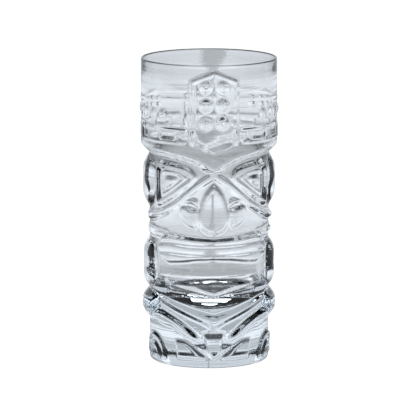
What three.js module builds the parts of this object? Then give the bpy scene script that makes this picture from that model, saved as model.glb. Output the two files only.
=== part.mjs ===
// Tiki tumbler: a clear pressed-glass highball with a carved-idol face moulded into its wall.
// One piece of glass: a heavy solid base, an open bowl, a face on the front and a plain back under the
// headband. The glass stands on z = 0 and the face looks along -Y.
import * as THREE from 'three';
import { mergeVertices } from 'three/addons/utils/BufferGeometryUtils.js';

// Driving dimensions, in millimetres
const HEIGHT = 169.3;
const FOOT_RADIUS = 33.0;          // the ground that all the carving below the headband stands on
const BAND_RADIUS = 37.7;          // the headband under the rim
const FOOT_CORNER = 2.2;           // rounding between the wall and the underside
const REST_RING_OUTER = 30.0;      // the flat ring that the glass stands on
const REST_RING_INNER = 23.0;
const PUNT_DEPTH = 0.9;            // how far the underside is hollowed inside the ring
const BOWL_RADIUS = 30.5;          // inside, from the floor up to the brow
const BAND_WALL = 2.0;             // wall thickness in the headband
const LIP_WALL = 1.3;              // and at the lip, which it thins to over the last part
const LIP_TAPER = 10.0;
const BOWL_FLOOR = 30.4;           // top of the solid base
const FLOOR_FLAT_RADIUS = 8.5;
const BOWL_WIDENS_FROM = 107;      // the bowl opens out to the headband between these heights
const BOWL_WIDENS_TO = 124;

// Mesh fineness
const SEGMENTS = 76;
const ROW_STEP = 3.0;
const ARC_STEPS = 2;
const FLOOR_ARC_STEPS = 8;
const CROWDING = 0.35;             // how far the columns are drawn together towards the face

// The carving is drawn on the unrolled wall. Its points are [degrees round from the middle of the
// face, height in mm]; a degree is this long on the wall.
const MM_PER_DEGREE = 0.61;
const SIDE = 90;                   // degrees from the middle of the face to the mould seam

const smooth = (from, to, x) => THREE.MathUtils.smoothstep(x, from, to);
const onWall = ([degrees, z]) => new THREE.Vector2(degrees * MM_PER_DEGREE, z);
const mirrorAt = (axis, points) => points.map(([degrees, z]) => [2 * axis - degrees, z]);

// A shape that crosses the middle of the face, or the side seam, is drawn as one half of its outline,
// which starts and ends on that line.
const closedAcross = (axis, half) => [...half, ...mirrorAt(axis, half).reverse().slice(1, -1)];
const acrossMiddle = (half) => closedAcross(0, half);
const acrossSide = (half) => closedAcross(SIDE, half);

// A smooth curve through the points. A closed one ends just before it comes back to its start.
function curved(points, closed = false) {
  const through = points.map(([degrees, z]) => new THREE.Vector3(degrees, z, 0));
  const curve = new THREE.CatmullRomCurve3(through, closed, 'catmullrom');
  const line = curve.getPoints(4 * points.length).map(({ x, y }) => [x, y]);
  return closed ? line.slice(0, -1) : line;
}

function distanceToSegment(point, a, b) {
  const along = b.clone().sub(a);
  const t = THREE.MathUtils.clamp(point.clone().sub(a).dot(along) / along.lengthSq(), 0, 1);
  return point.distanceTo(a.clone().addScaledVector(along, t));
}

function distanceToLine(point, line) {
  let nearest = Infinity;
  for (let i = 1; i < line.length; i += 1) {
    nearest = Math.min(nearest, distanceToSegment(point, line[i - 1], line[i]));
  }
  return nearest;
}

function isInside(point, outline) {
  let inside = false;
  for (let i = 0, j = outline.length - 1; i < outline.length; j = i, i += 1) {
    const a = outline[i];
    const b = outline[j];
    const crosses = (a.y > point.y) !== (b.y > point.y);
    if (crosses && point.x < ((b.x - a.x) * (point.y - a.y)) / (b.y - a.y) + a.x) inside = !inside;
  }
  return inside;
}

// A moulding along a line, flat on top, with softly rounded edges
function ridge(points, halfWidth, height, edge = 1.3) {
  const line = points.map(onWall);
  return (point) => height * smooth(0, edge, halfWidth - distanceToLine(point, line));
}

// A flat field inside an outline, with softly rounded edges
function plate(points, height, edge = 1.3) {
  const outline = points.map(onWall);
  const closed = [...outline, outline[0]];
  return (point) => (
    isInside(point, outline) ? height * smooth(0, edge, distanceToLine(point, closed)) : 0);
}

// A cushion-shaped swelling inside an outline: it is full height `reach` mm in from the edge.
// A `fullness` of 0.5 is a round edge, 1 a straight roof slope.
function swelling(points, height, reach, fullness = 0.5) {
  const outline = points.map(onWall);
  const closed = [...outline, outline[0]];
  return (point) => {
    if (!isInside(point, outline)) return 0;
    const t = Math.min(distanceToLine(point, closed) / reach, 1);
    return height * (1 - (1 - t) ** 2) ** (2 * fullness - 0.25);
  };
}

// An oval bead
function bead([degrees, z], halfWidth, halfHeight, height) {
  const centre = onWall([degrees, z]);
  return (point) => {
    const away = Math.hypot((point.x - centre.x) / halfWidth, (point.y - centre.y) / halfHeight);
    return height * (1 - Math.min(away, 1) ** 4);
  };
}

// Headband: everything above the brow line, which dips to a V over the nose.
const BAND_RISE = BAND_RADIUS - FOOT_RADIUS;
const BROW_SIDE_HEIGHT = 119.2;
const BROW_DIP = 10.2;
const browLine = (degrees) => BROW_SIDE_HEIGHT - BROW_DIP * Math.exp(-((degrees / 18.5) ** 1.2));
const BROW_EDGE = 3.4;
const headband = (point) => {
  const brow = browLine(point.x / MM_PER_DEGREE);
  return BAND_RISE * smooth(brow - BROW_EDGE, brow + BROW_EDGE, point.y);
};

// Eyes: a lid that runs round a slanted triangle, a thinner line inside it and a raised iris
const LID = [[18.5, 107], [24, 110], [30, 111.2], [40, 112.2], [50, 112.5], [59, 111.6], [61.5, 108],
  [61.5, 98], [59.5, 90.6], [50, 93], [40, 96.5], [30, 100.8], [22, 104.2], [18.5, 107]];
const EYEBALL = [[27, 106.2], [34, 108.3], [42, 108.8], [52, 108.8], [55.5, 107], [55.5, 100],
  [54, 95.4], [48, 97.2], [40, 100.2], [33, 103.2], [27, 106.2]];
const IRIS = [[35.5, 105.4], [42, 106.6], [49, 106.4], [51, 104], [50, 100.2], [46, 99.8], [40, 102.2]];
const eyes = [
  ridge(LID, 2.1, 2.2, 1.4),
  ridge(EYEBALL, 0.9, 1.4, 0.8),
  plate(curved(IRIS, true), 1.9, 1.4),
];

// Nose: a long bridge with a wing on each side, and a nostril sunk into the top of each wing
const BRIDGE = acrossMiddle([[0, 104], [5, 101.6], [9.5, 98], [13, 93], [15.4, 87], [15.4, 82],
  [12, 77.4], [6, 75], [0, 74.4]]);
const WING = [[14, 92.6], [17, 95.2], [23, 95.6], [29.5, 93.6], [33.5, 89], [32.5, 84.4], [27.5, 80.6],
  [21, 78.6], [15, 79.6]];
const NOSTRIL = [[13.5, 88.8], [16.5, 91.6], [21, 93.2], [26, 92.8], [30, 90.8], [25, 89.2], [19, 88.2]];
const nose = [
  plate(curved(BRIDGE, true), 3.2, 2.8),
  plate(curved(WING, true), 2.4, 1.8),
];
const nostril = plate(curved(NOSTRIL, true), 2.8, 1.2);

// Cheeks: a ridge that runs from between the brows, under the eye, out to the side
const CHEEK = [[0, 108.5], [3, 107], [15, 102], [25, 97], [35, 92], [50, 87], [60, 84.8], [75, 82.6],
  [SIDE, 81.9]];
const cheeks = [
  ridge(curved(CHEEK), 2.6, 2.1, 1.6),
  ridge([[50, 74], [60, 74.2], [SIDE, 74.6]], 2.8, 1.5, 1.8),
];

// Mouth: the upper lip over an open mouth, and a lens-shaped lower lip
const UPPER_LIP = acrossMiddle([[0, 72.9], [20, 73.7], [40, 74.9], [50, 74.2], [56, 72], [60, 66.5],
  [57, 61], [46, 57.8], [30, 58.8], [15, 60.2], [0, 60.6]]);
const LOWER_LIP = acrossMiddle([[0, 50.6], [20, 50], [36, 47.8], [46, 46.2], [36, 45.4], [20, 43.4],
  [0, 40]]);
const mouth = [
  plate(UPPER_LIP, 3.4, 2.2),
  plate(LOWER_LIP, 2.2, 2.6),
];
const lipCreases = [
  ridge(curved([[0, 69.4], [20, 69.6], [40, 70.2], [54, 69.4]]), 1.8, 1.0, 1.8),
  ridge(curved([[0, 64.2], [20, 64.4], [40, 64.8], [56, 64.2]]), 1.6, 0.8, 1.6),
];

// Sides: three bosses one above the other on the mould seam
const TEMPLE = acrossSide([[SIDE, 116.6], [76, 115.6], [68, 111], [66, 104], [68, 95], [76, 88.6],
  [SIDE, 86.4]]);
const EAR = acrossSide([[SIDE, 68.3], [74, 68], [67, 64], [64.5, 57], [66, 50], [71, 44], [SIDE, 41.6]]);
const LOBE = acrossSide([[SIDE, 41], [70, 40.6], [60, 38.4], [57, 33], [61, 27.5], [72, 24.6], [SIDE, 24]]);
const sides = [
  swelling(curved(TEMPLE, true), 3.7, 10, 0.7),
  swelling(curved(EAR, true), 3.3, 8),
  swelling(curved(LOBE, true), 3.9, 7, 0.8),
];

// Chin: a chevron with a sharp crest, a pair of tongues under it and an arrow-shaped boss below, with
// a groove along the arrow's top and shoulders
const CHEVRON = acrossMiddle([[0, 30.6], [15, 33], [30, 35.8], [50, 39], [61, 39.6], [62, 36.6],
  [50, 34.4], [30, 29.6], [12, 25], [0, 20.7]]);
const TONGUE = [[14.2, 16.2], [17, 19.2], [22, 22], [30, 25.6], [40, 28.6], [52, 31], [62, 31],
  [68, 27], [60, 24], [50, 22.8], [40, 21.8], [27, 17.4], [18, 15.3]];
const ARROW = acrossMiddle([[0, 18.7], [8.8, 18.7], [7.8, 13], [17, 12.7], [0, 5]]);
const chin = [
  swelling(CHEVRON, 3.4, 4.4, 0.9),
  plate(curved(TONGUE, true), 3.2, 1.8),
  plate(ARROW, 3.2, 0.9),
];
const arrowGroove = ridge([[0, 19.8], [10.4, 19.8], [9.2, 13.9], [18.5, 13.6]], 0.95, 1.5, 0.9);

// Foot: a smooth panel on each side of the arrow, and arched petals further round
const FOOT_PANEL = [[4.5, 5], [22, 13.4], [27, 15.2], [38.5, 15.6], [36, 5]];
const PETAL_CENTRE = [70, 5];
const petal = (radius) => {
  const arch = [];
  for (let turn = 0; turn <= Math.PI + 0.01; turn += Math.PI / 8) {
    const across = (radius * Math.cos(turn)) / MM_PER_DEGREE;
    arch.push([PETAL_CENTRE[0] - across, PETAL_CENTRE[1] + radius * Math.sin(turn)]);
  }
  return arch;
};
const foot = [
  plate(FOOT_PANEL, 1.8, 1.3),
  ridge(petal(10.8), 1.7, 1.5, 1.4),
  ridge(petal(5.4), 1.7, 1.2, 1.4),
];

// Headband ornament, which stands on the band: the brow's roll, a gabled plaque with two columns of
// beads, a thin ring, a row of beads round the side and a row of framed panels under it
const BROW_ROLL_ABOVE_EDGE = 6.2;
const BROW_ROLL_HALF_WIDTH = 5.2;
const browRoll = (point) => {
  const degrees = point.x / MM_PER_DEGREE;
  const centre = browLine(degrees) + BROW_ROLL_ABOVE_EDGE - 1.6 * smooth(0, 40, degrees);
  const t = Math.min(Math.abs(point.y - centre) / BROW_ROLL_HALF_WIDTH, 1);
  return (0.35 - 0.25 * smooth(10, 60, degrees)) * (1 - t * t) ** 1.5;
};

const PLAQUE_EDGE = 20.5;
const PLAQUE_RISE = 0.6;
const BEAD_COLUMN = 6.9;
function plaque(apex, shoulder, beadHeights) {
  const field = acrossMiddle([[0, apex], [PLAQUE_EDGE, shoulder], [PLAQUE_EDGE, 124.6], [10, 122.2],
    [0, 120]]);
  const border = [[0, apex - 1.2], [PLAQUE_EDGE - 1.5, shoulder - 0.7], [PLAQUE_EDGE - 1.5, 126]];
  const beads = beadHeights.map((z) => bead([BEAD_COLUMN, z], 3.2, 3.4, 1.2));
  return { ground: plate(field, PLAQUE_RISE, 1.2), raised: [ridge(border, 1.2, 0.6, 1.0), ...beads] };
}

const SIDE_BEADS = 4;
const SIDE_BEAD_FIRST = 47;
const SIDE_BEAD_STEP = 11.5;
const FRAMES = [[25, 79, 126.4, 133.2], [34, 50, 128, 131.6], [27.6, 30.6, 127.6, 132]];
const frame = ([left, right, low, high]) => (
  ridge([[left, low], [left, high], [right, high], [right, low], [left, low]], 0.9, 0.8, 0.7));
const sideBead = (_, i) => bead([SIDE_BEAD_FIRST + i * SIDE_BEAD_STEP, 141.3], 1.9, 2.8, 0.9);
const trim = (ring) => [
  ridge(ring, 0.9, 0.45, 0.8),
  bead([18.2, 129.6], 1.5, 4.2, 0.9),
  ...Array.from({ length: SIDE_BEADS }, sideBead),
  ...FRAMES.map(frame),
];

const FRONT = {
  carving: [headband, ...sides, ...eyes, ...nose, ...cheeks, ...mouth, ...chin, ...foot],
  sunk: [nostril, ...lipCreases, arrowGroove],
  plaque: plaque(166.2, 160.6, [157.5, 147.4, 137.6]),
  trim: trim([[21.5, 150.8], [30, 150.6], [45, 149.9], [70, 148.2], [SIDE, 147.6]]),
};
const BACK = {
  carving: [headband, ...sides],
  sunk: [],
  plaque: plaque(150.6, 143.9, [141.5, 131.5]),
  trim: trim([[0, 147.4], [SIDE, 147.6]]),
};

// Where mouldings meet, the higher one wins with a small fillet; ornament adds to what it stands on.
const FILLET_POWER = 7;
const ORNAMENT_FROM = 108;
const highest = (shapes, point) => Math.max(0, ...shapes.map((shape) => shape(point)));
function sideRadius(side, point) {
  const raised = side.carving.reduce((sum, shape) => sum + shape(point) ** FILLET_POWER, 0);
  const radius = FOOT_RADIUS + raised ** (1 / FILLET_POWER) - highest(side.sunk, point);
  if (point.y < ORNAMENT_FROM) return radius;
  return radius + highest([browRoll, side.plaque.ground], point) + highest(side.plaque.raised, point)
    + highest(side.trim, point);
}

// The wall's radius at a number of degrees round from the middle of the face: 180 is the middle of
// the back. Front and back run into each other over the last degrees before the seam.
const JOIN_DEGREES = 12;
function wallRadius(degrees, z) {
  const fromMiddle = Math.max(Math.min(degrees, 2 * SIDE - degrees), 0);
  const point = onWall([fromMiddle, z]);
  const [near, far] = degrees < SIDE ? [FRONT, BACK] : [BACK, FRONT];
  const share = smooth(SIDE - JOIN_DEGREES, SIDE, fromMiddle) / 2;
  if (share === 0) return sideRadius(near, point);
  return THREE.MathUtils.lerp(sideRadius(near, point), sideRadius(far, point), share);
}

// The wall's radius averaged over a patch, so that narrow mouldings come out soft, not broken
const PATCH_DEGREES = 4.6;
const PATCH_SAMPLES = [-0.7, -0.35, 0, 0.35, 0.7];
function patchRadius(degrees, z) {
  let total = 0;
  for (const across of PATCH_SAMPLES) {
    const folded = Math.abs(degrees + across * PATCH_DEGREES);
    for (const up of PATCH_SAMPLES) {
      total += wallRadius(Math.min(folded, 4 * SIDE - folded), z + up * ROW_STEP);
    }
  }
  return total / PATCH_SAMPLES.length ** 2;
}

// Section of the glass, from the middle of the underside round the wall to the middle of the floor
const LIP_RADIUS = LIP_WALL / 2;
const arc = (x, z, radius, from, to, steps) => Array.from({ length: steps + 1 }, (_, i) => {
  const turn = THREE.MathUtils.degToRad(from + ((to - from) * i) / steps);
  return new THREE.Vector2(x + radius * Math.cos(turn), z + radius * Math.sin(turn));
});

function underside() {
  return [new THREE.Vector2(0, PUNT_DEPTH), new THREE.Vector2(REST_RING_INNER / 2, 0.8 * PUNT_DEPTH),
    new THREE.Vector2(REST_RING_INNER, 0), new THREE.Vector2(REST_RING_OUTER, 0)];
}

function outerWall() {
  const start = FOOT_CORNER + 1;
  const rows = Math.round((HEIGHT - LIP_RADIUS - start) / ROW_STEP);
  return Array.from({ length: rows }, (_, i) => (
    new THREE.Vector2(FOOT_RADIUS, start + ((HEIGHT - LIP_RADIUS - start) * i) / rows)));
}

function bowl() {
  const bandInside = BAND_RADIUS - BAND_WALL;
  const corner = BOWL_RADIUS - FLOOR_FLAT_RADIUS;
  const wall = [0, 0.25, 0.5, 0.75, 1].map((t) => (
    new THREE.Vector2(THREE.MathUtils.lerp(bandInside, BOWL_RADIUS, smooth(0, 1, t)),
      THREE.MathUtils.lerp(BOWL_WIDENS_TO, BOWL_WIDENS_FROM, t))));
  const floor = arc(FLOOR_FLAT_RADIUS, BOWL_FLOOR + corner, corner, 0, -90, FLOOR_ARC_STEPS);
  const taper = new THREE.Vector2(bandInside, HEIGHT - LIP_TAPER);
  return [taper, ...wall, ...floor, new THREE.Vector2(0, BOWL_FLOOR)];
}

function tumblerGeometry() {
  const footCorner = arc(FOOT_RADIUS - FOOT_CORNER, FOOT_CORNER, FOOT_CORNER, -65, 0, ARC_STEPS);
  const lip = arc(BAND_RADIUS - LIP_RADIUS, HEIGHT - LIP_RADIUS, LIP_RADIUS, 0, 180, 2 * ARC_STEPS);
  const section = [...underside(), ...footCorner, ...outerWall(), ...lip, ...bowl()];
  const geometry = new THREE.LatheGeometry(section, SEGMENTS);
  geometry.rotateX(Math.PI / 2);
  carve(geometry);
  geometry.deleteAttribute('uv');
  geometry.deleteAttribute('normal');
  const closed = mergeVertices(geometry, 1e-4);
  closed.computeVertexNormals();
  return closed;
}

// Draws the columns together towards the face, and moves the outer wall out to the carved surface.
function carve(geometry) {
  const vertices = geometry.getAttribute('position');
  for (let i = 0; i < vertices.count; i += 1) {
    const z = vertices.getZ(i);
    const turn = Math.atan2(vertices.getX(i), -vertices.getY(i));
    const crowded = turn - CROWDING * Math.sin(turn);
    let radius = Math.hypot(vertices.getX(i), vertices.getY(i));
    const isOuterWall = Math.abs(radius - FOOT_RADIUS) < 1e-3 && z > FOOT_CORNER && z < HEIGHT - LIP_RADIUS;
    if (isOuterWall) radius = patchRadius(Math.abs(THREE.MathUtils.radToDeg(crowded)), z);
    vertices.setXY(i, radius * Math.sin(crowded), -radius * Math.cos(crowded));
  }
}

const clearGlass = new THREE.MeshStandardMaterial({
  color: 0xdfe6ea, roughness: 0.04, metalness: 0, transparent: true, opacity: 0.35,
});

const tumbler = new THREE.Mesh(tumblerGeometry(), clearGlass);
tumbler.name = 'glass_tumbler';

const model = new THREE.Group();
model.add(tumbler);

export default model;
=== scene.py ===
"""The looks of the tiki tumbler: one piece of clear pressed glass, in a white glassware studio."""
import math

import bpy
import numpy as np
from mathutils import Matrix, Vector


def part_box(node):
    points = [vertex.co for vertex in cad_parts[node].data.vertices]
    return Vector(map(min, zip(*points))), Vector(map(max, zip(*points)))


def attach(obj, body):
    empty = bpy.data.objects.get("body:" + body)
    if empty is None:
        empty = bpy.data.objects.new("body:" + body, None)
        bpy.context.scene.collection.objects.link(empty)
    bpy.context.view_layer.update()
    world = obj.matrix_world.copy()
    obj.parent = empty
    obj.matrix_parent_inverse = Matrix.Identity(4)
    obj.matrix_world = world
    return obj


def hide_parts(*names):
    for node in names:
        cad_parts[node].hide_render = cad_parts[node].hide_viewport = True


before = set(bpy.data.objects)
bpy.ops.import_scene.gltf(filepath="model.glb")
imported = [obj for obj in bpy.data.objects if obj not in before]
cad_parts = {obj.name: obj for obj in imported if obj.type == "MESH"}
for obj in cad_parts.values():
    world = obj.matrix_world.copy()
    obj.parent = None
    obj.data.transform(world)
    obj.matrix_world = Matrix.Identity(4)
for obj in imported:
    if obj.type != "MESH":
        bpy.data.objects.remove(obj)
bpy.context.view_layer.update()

NODE = "glass_tumbler"
MM = 0.001

# --------------------------------------------------------------------------------------------------
# Dimensions, in millimetres. The height is the CAD model's own.
# --------------------------------------------------------------------------------------------------
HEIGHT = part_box(NODE)[1].z / MM
FOOT_RADIUS = 33.0       # the ground that all the carving below the headband stands on
BAND_RADIUS = 37.7       # the headband under the rim
FOOT_CORNER = 2.2        # rounding between the wall and the underside
REST_RING_OUTER = 30.0   # the flat ring that the glass stands on
REST_RING_INNER = 23.0
PUNT_DEPTH = 0.9         # how far the underside is hollowed inside the ring
PUNT_PROFILE = (         # its section, as shares of the ring's inner radius and of that depth
    (0.25, 1.0), (0.5, 0.85), (0.75, 0.5), (0.92, 0.16), (1.0, 0.0),
)
BOWL_RADIUS = 30.5       # inside, from the floor up to the brow
BAND_WALL = 2.0          # wall thickness in the headband
LIP_WALL = 1.3           # and at the lip
LIP_TAPER = 10.0         # how far below the lip the wall starts to thin
BOWL_FLOOR = 30.4        # top of the solid base
FLOOR_FLAT_RADIUS = 8.5  # the flat middle of the floor, inside a rounded corner
BOWL_WIDENS_FROM = 107.0
BOWL_WIDENS_TO = 124.0
FACE_WALL = 3.9          # mean wall thickness behind the face
FOLLOWS_FROM = 76.0      # above this height the inside starts to follow the carving
FOLLOWS_FULLY = 92.0
INNER_SOFTNESS = 6.5     # how softly it follows, as a blur radius
RIPPLES = ((11, 0.022, 9.0, 1.3), (12, 0.015, 7.0, 7.0))  # seed, depth, width and height of each
RIPPLES_FADE = (9.0, 3.0)  # they die out between these depths below the lip

# Mesh fineness
COLUMNS = 480            # round the glass, a multiple of four
ROW_STEP = 0.45          # between rows of the carved wall
BOWL_ROW_STEP = 0.8
FIRE_POLISH = 0.55       # how far the finished surface is softened, as a blur radius

# The carving is drawn on the unrolled wall, as [degrees round from the middle of the face, height].
MM_PER_DEGREE = 0.61
SIDE = 90.0              # degrees from the middle of the face to the mould seam
JOIN_DEGREES = 12.0      # front and back run into each other over this much before the seam
FILLET_POWER = 7         # where mouldings meet, the higher one wins with a small fillet


# --------------------------------------------------------------------------------------------------
# Drawing on the unrolled wall. A shape is a function from (x, z) to a height above the wall.
# --------------------------------------------------------------------------------------------------
def smooth(low, high, x):
    t = np.clip((x - low) / (high - low), 0, 1)
    return t * t * (3 - 2 * t)


def on_wall(points):
    """Points given as (degrees, height), in millimetres along the wall."""
    return [(degrees * MM_PER_DEGREE, z) for degrees, z in points]


def closed_across(axis, half):
    """Closes an outline that crosses the line at axis degrees, from the half that is drawn."""
    return half + [(2 * axis - degrees, z) for degrees, z in half[-2:0:-1]]


def across_middle(half):
    return closed_across(0, half)


def across_side(half):
    return closed_across(SIDE, half)


def curved(points, closed=False, steps=5):
    """A smooth curve through the points (Catmull-Rom)."""
    p = np.array(points, float)
    if closed:
        p = np.vstack([p[-1], p, p[:2]])
    else:
        p = np.vstack([2 * p[0] - p[1], p, 2 * p[-1] - p[-2]])
    out = []
    for a, b, c, d in zip(p, p[1:], p[2:], p[3:]):
        for t in np.arange(steps) / steps:
            out.append(0.5 * (2 * b + (c - a) * t + (2 * a - 5 * b + 4 * c - d) * t ** 2
                              + (3 * b - a - 3 * c + d) * t ** 3))
    if not closed:
        out.append(p[-2])
    return [tuple(point) for point in out]


def segment_distance(x, z, a, b):
    dx, dz = b[0] - a[0], b[1] - a[1]
    t = np.clip(((x - a[0]) * dx + (z - a[1]) * dz) / (dx * dx + dz * dz), 0, 1)
    return np.hypot(x - a[0] - t * dx, z - a[1] - t * dz)


def line_distance(x, z, line):
    nearest = np.full(x.shape, np.inf)
    for a, b in zip(line, line[1:]):
        nearest = np.minimum(nearest, segment_distance(x, z, a, b))
    return nearest


def is_inside(x, z, outline):
    inside = np.zeros(x.shape, bool)
    for a, b in zip(outline, outline[1:] + outline[:1]):
        if a[1] != b[1]:
            crosses = (a[1] > z) != (b[1] > z)
            inside ^= crosses & (x < (b[0] - a[0]) * (z - a[1]) / (b[1] - a[1]) + a[0])
    return inside


def ridge(points, half_width, height, edge=1.3):
    """A moulding along a line, flat on top, with softly rounded edges."""
    line = on_wall(points)

    def shape(x, z):
        return height * smooth(0, edge, half_width - line_distance(x, z, line))
    return shape


def plate(points, height, edge=1.3):
    """A flat field inside an outline, with softly rounded edges."""
    outline = on_wall(points)

    def shape(x, z):
        inward = line_distance(x, z, outline + outline[:1])
        return np.where(is_inside(x, z, outline), height * smooth(0, edge, inward), 0)
    return shape


def swelling(points, height, reach, fullness=0.5):
    """A cushion inside an outline, full height reach mm in from its edge. fullness 0.5 is a round
    edge, and 1 is nearly a straight roof slope."""
    outline = on_wall(points)

    def shape(x, z):
        t = np.minimum(line_distance(x, z, outline + outline[:1]) / reach, 1)
        rise = height * (1 - (1 - t) ** 2) ** (2 * fullness - 0.25)
        return np.where(is_inside(x, z, outline), rise, 0)
    return shape


def bead(centre, half_width, half_height, height):
    (cx, cz), = on_wall([centre])

    def shape(x, z):
        t = np.minimum(np.hypot((x - cx) / half_width, (z - cz) / half_height), 1)
        return height * (1 - t ** 4)
    return shape


# --------------------------------------------------------------------------------------------------
# The headband and its brow line, which dips to a V over the nose
# --------------------------------------------------------------------------------------------------
BROW_SIDE_HEIGHT = 119.2
BROW_DIP = 10.2
BROW_DIP_DEGREES = 18.5
BROW_EDGE = 3.4          # half the height over which the band stands out from the wall
ROLL_ABOVE_BROW = 6.2
ROLL_HALF_WIDTH = 5.2
ROLL_HEIGHT = 0.35       # over the nose
ROLL_SIDE_DROP = 1.6     # towards the sides it sits this much closer to the brow line
ROLL_SIDE_LOSS = 0.25    # and is this much lower


def brow_line(x):
    return BROW_SIDE_HEIGHT - BROW_DIP * np.exp(-((x / MM_PER_DEGREE / BROW_DIP_DEGREES) ** 1.2))


def headband(x, z):
    brow = brow_line(x)
    return (BAND_RADIUS - FOOT_RADIUS) * smooth(brow - BROW_EDGE, brow + BROW_EDGE, z)


def brow_roll(x, z):
    """The roll along the band's lower edge, strongest over the nose."""
    degrees = x / MM_PER_DEGREE
    centre = brow_line(x) + ROLL_ABOVE_BROW - ROLL_SIDE_DROP * smooth(0, 40, degrees)
    t = np.minimum(np.abs(z - centre) / ROLL_HALF_WIDTH, 1)
    return (ROLL_HEIGHT - ROLL_SIDE_LOSS * smooth(10, 60, degrees)) * (1 - t * t) ** 1.5


# --------------------------------------------------------------------------------------------------
# The face and what is under it
# --------------------------------------------------------------------------------------------------
def eyes():
    lid = [(18.5, 107), (24, 110), (30, 111.2), (40, 112.2), (50, 112.5), (59, 111.6), (61.5, 108),
           (61.5, 98), (59.5, 90.6), (50, 93), (40, 96.5), (30, 100.8), (22, 104.2), (18.5, 107)]
    eyeball = [(27, 106.2), (34, 108.3), (42, 108.8), (52, 108.8), (55.5, 107), (55.5, 100), (54, 95.4),
               (48, 97.2), (40, 100.2), (33, 103.2)]
    iris = [(35.5, 105.4), (42, 106.6), (49, 106.4), (51, 104), (50, 100.2), (46, 99.8), (40, 102.2)]
    return [ridge(lid, 2.1, 2.2, 1.4), ridge(eyeball + eyeball[:1], 0.9, 1.4, 0.8),
            plate(curved(iris, True), 1.9, 1.4)]


def nose():
    bridge = across_middle([(0, 104), (5, 101.6), (9.5, 98), (13, 93), (15.4, 87), (15.4, 82), (12, 77.4),
                            (6, 75), (0, 74.4)])
    wing = [(14, 92.6), (17, 95.2), (23, 95.6), (29.5, 93.6), (33.5, 89), (32.5, 84.4), (27.5, 80.6),
            (21, 78.6), (15, 79.6)]
    return [plate(curved(bridge, True), 3.2, 2.8), plate(curved(wing, True), 2.4, 1.8)]


def nostrils():
    hole = [(13.5, 88.8), (16.5, 91.6), (21, 93.2), (26, 92.8), (30, 90.8), (25, 89.2), (19, 88.2)]
    return [plate(curved(hole, True), 3.0, 0.9)]


def cheeks():
    cheek = [(0, 108.5), (3, 107), (15, 102), (25, 97), (35, 92), (50, 87), (60, 84.8), (75, 82.6),
             (SIDE, 81.9)]
    return [ridge(curved(cheek), 2.6, 2.1, 1.6), ridge([(50, 74), (60, 74.2), (SIDE, 74.6)], 2.8, 1.5, 1.8)]


def mouth():
    upper = across_middle([(0, 72.9), (20, 73.7), (40, 74.9), (50, 74.2), (56, 72), (60, 66.5),
                           (57, 61), (46, 57.8), (30, 58.8), (15, 60.2), (0, 60.6)])
    lower = across_middle([(0, 50.6), (20, 50), (36, 47.8), (46, 46.2), (36, 45.4), (20, 43.4), (0, 40)])
    return [plate(upper, 3.4, 2.2), plate(lower, 2.2, 2.6)]


def lip_creases():
    return [ridge(curved([(0, 69.4), (20, 69.6), (40, 70.2), (54, 69.4)]), 1.8, 1.0, 1.8),
            ridge(curved([(0, 64.2), (20, 64.4), (40, 64.8), (56, 64.2)]), 1.6, 0.8, 1.6)]


def side_bosses():
    temple = across_side([(SIDE, 116.6), (76, 115.6), (68, 111), (66, 104), (68, 95), (76, 88.6),
                          (SIDE, 86.4)])
    ear = across_side([(SIDE, 68.3), (74, 68), (67, 64), (64.5, 57), (66, 50), (71, 44), (SIDE, 41.6)])
    lobe = across_side([(SIDE, 41), (70, 40.6), (60, 38.4), (57, 33), (61, 27.5), (72, 24.6),
                        (SIDE, 24)])
    return [swelling(curved(temple, True), 3.7, 10, 0.7), swelling(curved(ear, True), 3.3, 8),
            swelling(curved(lobe, True), 3.9, 7, 0.8)]


def chin():
    chevron = across_middle([(0, 30.6), (15, 33), (30, 35.8), (50, 39), (61, 39.6), (62, 36.6),
                             (50, 34.4), (30, 29.6), (12, 25), (0, 20.7)])
    tongue = [(14.2, 16.2), (17, 19.2), (22, 22), (30, 25.6), (40, 28.6), (52, 31), (62, 31),
              (68, 27), (60, 24), (50, 22.8), (40, 21.8), (27, 17.4), (18, 15.3)]
    arrow = across_middle([(0, 18.7), (8.8, 18.7), (7.8, 13), (17, 12.7), (0, 5)])
    return [swelling(chevron, 3.4, 4.4, 0.9), plate(curved(tongue, True), 3.2, 1.8),
            plate(arrow, 3.2, 0.9)]


def arrow_groove():
    """A groove cut along the arrow's top and shoulders."""
    return [ridge([(0, 19.8), (10.4, 19.8), (9.2, 13.9), (18.5, 13.6)], 0.95, 1.5, 0.9)]


def foot():
    """A panel beside the arrow, and two arches, one inside the other, under each lobe."""
    ground = 5
    arch_middle = 70
    panel = [(4.5, ground), (22, 13.4), (27, 15.2), (38.5, 15.6), (36, ground)]
    shapes = [plate(panel, 1.8, 1.3)]
    for radius, height in ((10.8, 1.5), (5.4, 1.2)):
        turns = np.linspace(0, math.pi, 17)
        arch = [(arch_middle - radius * math.cos(turn) / MM_PER_DEGREE, ground + radius * math.sin(turn))
                for turn in turns]
        shapes.append(ridge(arch, 1.7, height, 1.4))
    return shapes


# --------------------------------------------------------------------------------------------------
# Ornament that stands on the headband
# --------------------------------------------------------------------------------------------------
def plaque(apex, shoulder, bead_heights):
    """A gabled field with a raised border and two columns of beads."""
    field = across_middle([(0, apex), (20.5, shoulder), (20.5, 124.6), (10, 122.2), (0, 120)])
    border = [(0, apex - 1.2), (19, shoulder - 0.7), (19, 126)]
    beads = [bead((6.9, z), 3.2, 3.4, 1.2) for z in bead_heights]
    return [plate(field, 0.6, 1.2)], [ridge(border, 1.2, 0.6, 1.0), *beads]


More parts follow.
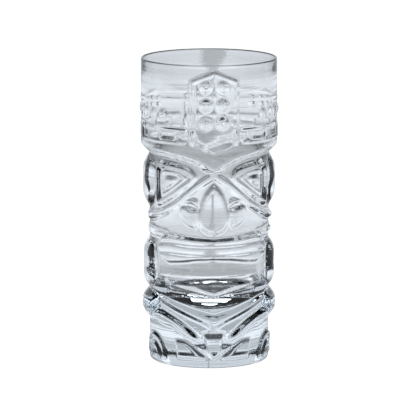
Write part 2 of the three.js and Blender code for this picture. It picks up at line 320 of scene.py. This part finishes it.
def headband_trim(ring):
    """The ring round the band, with a row of small beads and a row of low panels under it."""
    shapes = [ridge(ring, 0.9, 0.45, 0.8), bead((18.2, 129.6), 1.5, 4.2, 0.9)]
    shapes += [bead((47 + 11.5 * i, 141.3), 1.9, 2.8, 0.9) for i in range(4)]
    for left, right, low, high in ((25, 79, 126.4, 133.2), (34, 50, 128, 131.6), (27.6, 30.6, 127.6, 132)):
        corners = [(left, low), (left, high), (right, high), (right, low)]
        shapes.append(ridge(corners + corners[:1], 0.9, 0.8, 0.7))
    return shapes


FRONT_TRIM = (plaque(166.2, 160.6, (157.5, 147.4, 137.6)),
              headband_trim([(21.5, 150.8), (30, 150.6), (45, 149.9), (70, 148.2), (SIDE, 147.6)]))
BACK_TRIM = (plaque(150.6, 143.9, (141.5, 131.5)), headband_trim([(0, 147.4), (SIDE, 147.6)]))


# --------------------------------------------------------------------------------------------------
# The carved wall as a grid of radii: rows up the glass, columns round it
# --------------------------------------------------------------------------------------------------
def blur(field, across, up):
    """Gaussian blur, by columns and rows. It wraps round the glass and mirrors at top and bottom."""
    tall = np.concatenate([field, field[::-1]])
    rows = np.fft.fftfreq(len(tall))[:, None]
    columns = np.fft.fftfreq(field.shape[1])[None, :]
    soft = np.exp(-2 * math.pi ** 2 * ((rows * up) ** 2 + (columns * across) ** 2))
    return np.fft.ifft2(np.fft.fft2(tall) * soft).real[:len(field)]


def blur_mm(field, across, up, row_step):
    column_step = 2 * math.pi * FOOT_RADIUS / COLUMNS
    return blur(field, across / column_step, up / row_step)


def waves(rows, row_step, seed, across, up):
    """Random ripples of unit strength, across mm wide and up mm tall."""
    noise = np.random.default_rng(seed).standard_normal((rows, COLUMNS))
    field = blur_mm(noise, across, up, row_step)
    return field / field.std()


def carved_quarter(x, z, face, trim):
    """The wall's radius from the middle of the front, or of the back, round to the mould seam."""
    carving = [headband, *side_bosses()]
    if face:
        carving += [*eyes(), *nose(), *cheeks(), *mouth(), *chin(), *foot()]
    raised = sum(shape(x, z) ** FILLET_POWER for shape in carving)
    wall = FOOT_RADIUS + raised ** (1 / FILLET_POWER)
    if face:
        wall -= np.max([shape(x, z) for shape in (*nostrils(), *lip_creases(), *arrow_groove())], axis=0)
    (field, beads), band = trim
    for shapes in ([brow_roll, *field], beads, band):
        wall += np.max([shape(x, z) for shape in shapes], axis=0)
    return wall


def carved_wall(heights):
    """The wall's radius at each height and column, with the face on the front."""
    degrees = np.linspace(0, SIDE, COLUMNS // 4 + 1)
    x, z = np.meshgrid(degrees * MM_PER_DEGREE, heights)
    front = carved_quarter(x, z, True, FRONT_TRIM)
    back = carved_quarter(x, z, False, BACK_TRIM)
    join = smooth(SIDE - JOIN_DEGREES, SIDE, degrees) / 2
    front, back = front + join * (back - front), back + join * (front - back)
    half = np.concatenate([front, back[:, -2::-1]], axis=1)
    whole = np.concatenate([half, half[:, -2:0:-1]], axis=1)
    return blur_mm(whole, FIRE_POLISH, FIRE_POLISH, ROW_STEP)


# --------------------------------------------------------------------------------------------------
# The glass as one closed mesh: a stack of rings from the underside, up the wall, over the lip and
# down the bowl to its floor
# --------------------------------------------------------------------------------------------------
def arc(x, z, radius, start, end, steps):
    turns = np.radians(np.linspace(start, end, steps + 1))
    return [(x + radius * math.cos(t), z + radius * math.sin(t)) for t in turns]


def bowl_wall(wall_heights, wall, heights):
    """The inside of the wall: plain up to the nose, and from the eyes up a soft copy of the carving."""
    soft = blur_mm(wall, INNER_SOFTNESS, INNER_SOFTNESS, ROW_STEP)
    below = np.clip(((heights - wall_heights[0]) / ROW_STEP).astype(int), 0, len(wall_heights) - 1)
    widening = smooth(BOWL_WIDENS_FROM, BOWL_WIDENS_TO, heights)[:, None]
    following = soft[below] - FACE_WALL + (FACE_WALL - BAND_WALL) * widening
    following += (BAND_WALL - LIP_WALL) * smooth(HEIGHT - LIP_TAPER, HEIGHT, heights)[:, None]
    share = smooth(FOLLOWS_FROM, FOLLOWS_FULLY, heights)[:, None]
    fading = 1 - smooth(HEIGHT - RIPPLES_FADE[0], HEIGHT - RIPPLES_FADE[1], heights)[:, None]
    ripples = sum(depth * waves(len(heights), BOWL_ROW_STEP, seed, across, up)
                  for seed, depth, across, up in RIPPLES)
    return BOWL_RADIUS + share * (following - BOWL_RADIUS) + fading * ripples


def glass_rings():
    lip = LIP_WALL / 2
    ones = np.ones(COLUMNS)
    heights = np.arange(FOOT_CORNER, HEIGHT - lip + 1e-6, ROW_STEP)
    wall = carved_wall(heights)
    rings = [(REST_RING_INNER * out * ones, PUNT_DEPTH * up * ones) for out, up in PUNT_PROFILE]
    rings.append((REST_RING_OUTER * ones, 0 * ones))
    for inset, height in arc(-FOOT_CORNER, FOOT_CORNER, FOOT_CORNER, -80, -10, 7):
        rings.append((wall[0] + inset, height * ones))
    rings += [(wall[i], height * ones) for i, height in enumerate(heights)]
    for radius, height in arc(BAND_RADIUS - lip, HEIGHT - lip, lip, 12, 180, 14):
        rings.append((radius * ones, height * ones))
    corner = BOWL_RADIUS - FLOOR_FLAT_RADIUS
    bowl_heights = np.arange(HEIGHT - lip - BOWL_ROW_STEP, BOWL_FLOOR + corner, -BOWL_ROW_STEP)
    bowl = bowl_wall(heights, wall, bowl_heights)
    rings += [(bowl[i], height * ones) for i, height in enumerate(bowl_heights)]
    for radius, height in arc(FLOOR_FLAT_RADIUS, BOWL_FLOOR + corner, corner, 0, -90, 30):
        rings.append((radius + (bowl[-1] - BOWL_RADIUS) * (height - BOWL_FLOOR) / corner, height * ones))
    rings += [(FLOOR_FLAT_RADIUS * k * ones, BOWL_FLOOR * ones) for k in (0.75, 0.5, 0.25)]
    return rings


def glass_mesh():
    rings = glass_rings()
    turns = np.linspace(0, 2 * math.pi, COLUMNS, endpoint=False)
    radius = np.array([ring[0] for ring in rings])
    height = np.array([ring[1] for ring in rings])
    grid = np.stack([radius * np.sin(turns), -radius * np.cos(turns), height], axis=2).reshape(-1, 3)
    under = len(grid)
    floor = under + 1
    points = np.vstack([grid, [(0, 0, PUNT_DEPTH)], [(0, 0, BOWL_FLOOR)]]) * MM
    column = np.arange(COLUMNS)
    after = (column + 1) % COLUMNS
    faces = [(under, b, a) for a, b in zip(column, after)]
    for row in range(len(rings) - 1):
        low, high = row * COLUMNS, (row + 1) * COLUMNS
        faces += [(low + a, low + b, high + b, high + a) for a, b in zip(column, after)]
    last = (len(rings) - 1) * COLUMNS
    faces += [(last + a, last + b, floor) for a, b in zip(column, after)]
    mesh = bpy.data.meshes.new("tumbler_glass")
    mesh.from_pydata(points.tolist(), [], faces)
    mesh.polygons.foreach_set("use_smooth", np.ones(len(mesh.polygons), bool))
    mesh.update()
    return mesh


# --------------------------------------------------------------------------------------------------
# Materials
# --------------------------------------------------------------------------------------------------
def new_material(name):
    material = bpy.data.materials.new(name)
    material.use_nodes = True
    return material, material.node_tree.nodes, material.node_tree.links


GLASS_IOR = 1.51
GLASS_TINT = (0.84, 0.9, 0.95, 1)
GLASS_TINT_DENSITY = 9.0       # per metre
FLOW_SCALE = (14, 14, 300)     # per metre: long level streaks, about 3 mm apart
FLOW_HEIGHT = 0.00012          # in metres
GRAIN_SCALE = 900.0            # the faint unevenness that the mould leaves, about 1 mm across
GRAIN_HEIGHT = 0.000006
LEAST_ROUGH = 0.0
MOST_ROUGH = 0.015
ROUGH_FROM = 0.45              # the streaks' brightness at which the polish starts to fail
ROUGH_TO = 0.75


def bump(nodes, links, height, distance, below=None):
    node = nodes.new("ShaderNodeBump")
    node.inputs["Distance"].default_value = distance
    links.new(height, node.inputs["Height"])
    if below:
        links.new(below, node.inputs["Normal"])
    return node.outputs["Normal"]


def clear_glass():
    """Clear glass with level flow streaks, a faint grain and uneven polish."""
    material, nodes, links = new_material("clear_glass")
    shader = nodes["Principled BSDF"]
    shader.inputs["Base Color"].default_value = (1, 1, 1, 1)
    shader.inputs["IOR"].default_value = GLASS_IOR
    shader.inputs["Transmission Weight"].default_value = 1.0
    place = nodes.new("ShaderNodeTexCoord").outputs["Object"]
    stretch = nodes.new("ShaderNodeMapping")
    stretch.inputs["Scale"].default_value = FLOW_SCALE
    links.new(place, stretch.inputs["Vector"])
    flow = nodes.new("ShaderNodeTexNoise")
    flow.inputs["Scale"].default_value = 1.0
    flow.inputs["Detail"].default_value = 2.0
    flow.inputs["Distortion"].default_value = 0.8
    links.new(stretch.outputs["Vector"], flow.inputs["Vector"])
    grain = nodes.new("ShaderNodeTexNoise")
    grain.inputs["Scale"].default_value = GRAIN_SCALE
    links.new(place, grain.inputs["Vector"])
    streaks = bump(nodes, links, flow.outputs["Fac"], FLOW_HEIGHT)
    links.new(bump(nodes, links, grain.outputs["Fac"], GRAIN_HEIGHT, streaks), shader.inputs["Normal"])
    polish = nodes.new("ShaderNodeMapRange")
    polish.inputs["From Min"].default_value = ROUGH_FROM
    polish.inputs["From Max"].default_value = ROUGH_TO
    polish.inputs["To Min"].default_value = LEAST_ROUGH
    polish.inputs["To Max"].default_value = MOST_ROUGH
    links.new(flow.outputs["Fac"], polish.inputs["Value"])
    links.new(polish.outputs["Result"], shader.inputs["Roughness"])
    absorb = nodes.new("ShaderNodeVolumeAbsorption")
    absorb.inputs["Color"].default_value = GLASS_TINT
    absorb.inputs["Density"].default_value = GLASS_TINT_DENSITY
    links.new(absorb.outputs["Volume"], nodes["Material Output"].inputs["Volume"])
    return material


def glowing(name, colour, strength):
    material, nodes, links = new_material(name)
    nodes.remove(nodes["Principled BSDF"])
    glow = nodes.new("ShaderNodeEmission")
    glow.inputs["Color"].default_value = (*colour, 1)
    glow.inputs["Strength"].default_value = strength
    links.new(glow.outputs["Emission"], nodes["Material Output"].inputs["Surface"])
    return material


# --------------------------------------------------------------------------------------------------
# The studio, in metres and degrees
# --------------------------------------------------------------------------------------------------
WHITE = (1, 1, 1)
STUDIO_RADIUS = 3.2
STEPS_ROUND = 96
BACKDROP_BOTTOM = -0.2
BACKDROP_TOP = 3.0
BACKDROP_LEVEL = 1.05
CARD_DISTANCE = 1.5
ROOM_TINT = (0.93, 0.985, 1.05)
# Sine of the height above the horizon, level: dark below and overhead, white round the horizon
ROOM_LEVELS = ((-1.0, 0.0), (-0.6, 0.0), (-0.42, 0.3), (-0.3, 0.5), (-0.2, 0.62), (-0.12, 0.8),
               (0.03, 1.02), (0.1, 0.72), (0.38, 0.7), (0.44, 0.12), (0.5, 0.06), (0.9, 0.06), (1.0, 0.8))
AIM = Vector((0, 0, 0.084))
PAINTED_FLOOR_SHADOW_AND_LIGHT = (   # inner and outer radius, level: painted shadow, dark under the glass, then grey and light rings of painted floor shade and light
    (0.0, 0.036, 0.0), (0.036, 0.049, 0.5), (0.049, 0.066, 0.6), (0.066, 0.09, 1.0), (0.09, 0.13, 0.45),
)
FLOOR_LIGHTS = ((0.0, 0.009, 3.0), (0.018, 0.028, 3.0))  # the same, for lights on the front part only
FLOOR_LIGHT_TURN = math.radians(50)                      # how far each runs round to either side
FLOOR_LIGHT_HEIGHT = 0.0002
CARD_RINGS = (   # name, azimuths, elevation, width, height, strength
    ("front_softbox", (-40, 40), 18, 0.25, 0.7, 2.4),
    ("back_softbox", (-140, 140), 18, 0.25, 0.7, 1.1),
    # The flags and the gap between the screens are no lamps: they glow with painted light, dimmer than the
    # room round them, in place of dark cards and a dark gap
    ("flag", (-62, 62, 118, -118), 0, 0.3, 1.2, 0.7),
    ("gap_between_screens", (0, 175.3), -4, 0.026, 1.5, 0.45),
)


def only_seen_by(obj, camera=False, rays=False):
    obj.visible_camera = camera
    for kind in ("diffuse", "glossy", "transmission", "volume_scatter", "shadow"):
        setattr(obj, "visible_" + kind, rays)


def on_stage(name, points, faces, material):
    """An object of the studio, which is no part of the tumbler."""
    mesh = bpy.data.meshes.new(name)
    mesh.from_pydata(points, [], faces)
    mesh.materials.append(material)
    obj = bpy.data.objects.new(name, mesh)
    bpy.context.scene.collection.objects.link(obj)
    return obj


def band(name, edges, material, half_turn=math.pi):
    """A band round the glass between two edges, given as (radius, height), or the front part of one."""
    turns = np.linspace(-half_turn, half_turn, STEPS_ROUND + 1)
    points = [(radius * math.sin(t), -radius * math.cos(t), height)
              for radius, height in edges for t in turns]
    count = STEPS_ROUND + 1
    faces = [(i, i + 1, count + i + 1, count + i) for i in range(STEPS_ROUND)]
    return on_stage(name, points, faces, material)


def white_backdrop():
    """An upright white cylinder round the object, that only the camera sees."""
    edges = ((STUDIO_RADIUS, BACKDROP_BOTTOM), (STUDIO_RADIUS, BACKDROP_TOP))
    only_seen_by(band("backdrop", edges, glowing("backdrop_white", WHITE, BACKDROP_LEVEL)), camera=True)


def floor_ring(inner, outer, level, height=0.0, half_turn=math.pi):
    """A ring on the floor round the glass, or the front part of one, that only the glass sees. It glows:
    the bright front ones are lamps, and the others are painted shadow, shade and light on the floor.
    """
    edges = ((inner, height), (outer, height))
    only_seen_by(band("floor_ring", edges, glowing("floor_ring", ROOM_TINT, level), half_turn), rays=True)


def white_floor():
    """A white floor that only the camera sees."""
    bpy.ops.mesh.primitive_circle_add(vertices=STEPS_ROUND, radius=STUDIO_RADIUS, fill_type="NGON")
    obj = bpy.context.object
    obj.name = "floor"
    obj.data.materials.append(glowing("floor_white", WHITE, BACKDROP_LEVEL))
    only_seen_by(obj, camera=True)


def surroundings():
    """The room as the glass sees it, shaded by height above the horizon."""
    world = bpy.data.worlds.new("studio")
    bpy.context.scene.world = world
    world.use_nodes = True
    nodes, links = world.node_tree.nodes, world.node_tree.links
    parts = nodes.new("ShaderNodeSeparateXYZ")
    links.new(nodes.new("ShaderNodeTexCoord").outputs["Generated"], parts.inputs[0])
    height = nodes.new("ShaderNodeMapRange")
    height.inputs["From Min"].default_value = -1
    links.new(parts.outputs["Z"], height.inputs["Value"])
    ramp = nodes.new("ShaderNodeValToRGB")
    stops = ramp.color_ramp.elements
    while len(stops) > 1:
        stops.remove(stops[-1])
    for sine, level in ROOM_LEVELS:
        stop = stops.new((sine + 1) / 2)
        stop.color = (*(level * tint for tint in ROOM_TINT), 1)
    stops.remove(stops[0])
    links.new(height.outputs["Result"], ramp.inputs["Fac"])
    links.new(ramp.outputs["Color"], nodes["Background"].inputs["Color"])


def card(name, azimuth, elevation, width, height, strength):
    """An upright card or softbox round the object, facing it, that the camera itself doesn't see. It glows:
    a softbox is a lamp, and the glow of a flag or of the gap card is painted light.
    """
    w, h = width / 2, height / 2
    corners = [(-w, -h, 0), (w, -h, 0), (w, h, 0), (-w, h, 0)]
    obj = on_stage(name, corners, [(0, 1, 2, 3)], glowing(name, ROOM_TINT, strength))
    turn, lift = math.radians(azimuth), math.radians(elevation)
    away = Vector((math.sin(turn) * math.cos(lift), -math.cos(turn) * math.cos(lift), math.sin(lift)))
    obj.location = away * CARD_DISTANCE + Vector((0, 0, AIM.z))
    obj.rotation_euler = (-away).to_track_quat("Z", "Y").to_euler()
    obj.visible_camera = False


def studio():
    surroundings()
    white_backdrop()
    white_floor()
    # The glass's shadow and the floor's shade and light round it, painted as glowing rings that only the
    # glass sees
    for inner, outer, level in PAINTED_FLOOR_SHADOW_AND_LIGHT:
        floor_ring(inner, outer, level)
    for inner, outer, level in FLOOR_LIGHTS:
        floor_ring(inner, outer, level, FLOOR_LIGHT_HEIGHT, FLOOR_LIGHT_TURN)
    for name, azimuths, elevation, width, height, strength in CARD_RINGS:
        for i, azimuth in enumerate(azimuths):
            card(f"{name}_{i}", azimuth, elevation, width, height, strength)


# --------------------------------------------------------------------------------------------------
# The camera, at the photograph's viewing angle
# --------------------------------------------------------------------------------------------------
CAMERA_DISTANCE = 2.22   # in metres, in plan
CAMERA_HEIGHT = 0.46     # in metres
CAMERA_AZIMUTH = -4.5    # degrees round from the face
LENS = 350.0             # focal length, in millimetres
SHIFT = (-0.0024, 0.0021)
LIGHT_BOUNCES = 28


def camera():
    data = bpy.data.cameras.new("camera")
    data.lens = LENS
    data.sensor_width = 36.0
    data.shift_x, data.shift_y = SHIFT
    data.clip_end = 20
    obj = bpy.data.objects.new("camera", data)
    turn = math.radians(CAMERA_AZIMUTH)
    obj.location = (CAMERA_DISTANCE * math.sin(turn), -CAMERA_DISTANCE * math.cos(turn), CAMERA_HEIGHT)
    obj.rotation_euler = (AIM - obj.location).to_track_quat("-Z", "Y").to_euler()
    bpy.context.scene.collection.objects.link(obj)
    bpy.context.scene.camera = obj


# --------------------------------------------------------------------------------------------------
# Putting it together
# --------------------------------------------------------------------------------------------------
scene = bpy.context.scene
scene.view_settings.view_transform = "Standard"
scene.cycles.max_bounces = LIGHT_BOUNCES
scene.cycles.transmission_bounces = LIGHT_BOUNCES
scene.cycles.glossy_bounces = 8

camera()
studio()

tumbler = bpy.data.objects.new("tumbler_glass", glass_mesh())
tumbler.data.materials.append(clear_glass())
scene.collection.objects.link(tumbler)
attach(tumbler, "root")
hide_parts(NODE)
